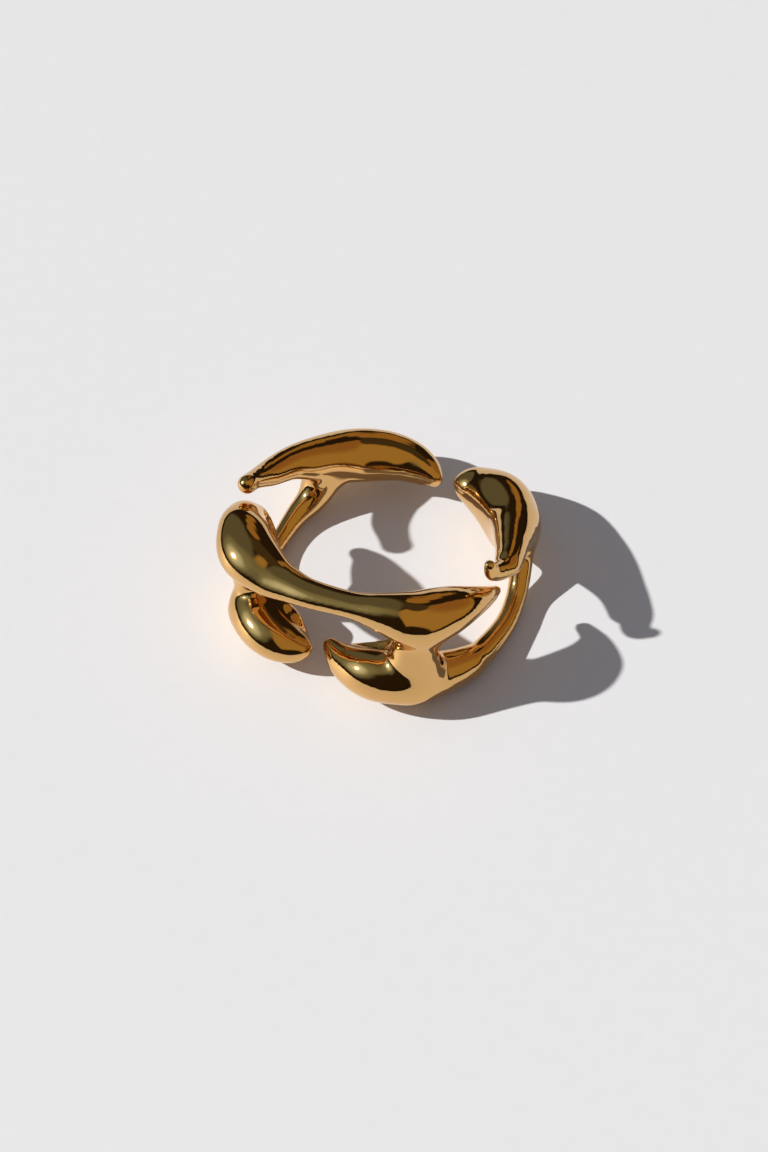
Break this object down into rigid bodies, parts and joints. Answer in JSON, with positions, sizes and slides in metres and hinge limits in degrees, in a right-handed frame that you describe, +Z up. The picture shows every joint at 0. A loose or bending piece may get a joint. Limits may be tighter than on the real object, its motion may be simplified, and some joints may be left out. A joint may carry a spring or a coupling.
{
  "type": "finger ring",
  "caption": "Cast open ring whose band is swollen claw-like limbs with fine tips, tied by thin struts into one piece.",
  "frame": {"origin": "the plane that the ring lies on, under the middle of its box", "axes": "+Z up, against the way the ring lies; -Y towards the viewer's side with the long crown claw; the finger hole's axis leans 7 degrees from +Z towards +Y"},
  "size_m": [0.0264, 0.0272, 0.0108],
  "materials": {
    "polished_gold": "mirror-polished warm yellow gold plate over a smooth casting"
  },
  "bodies": {
    "root": {"ring": "polished_gold"}
  },
  "joints": []
}
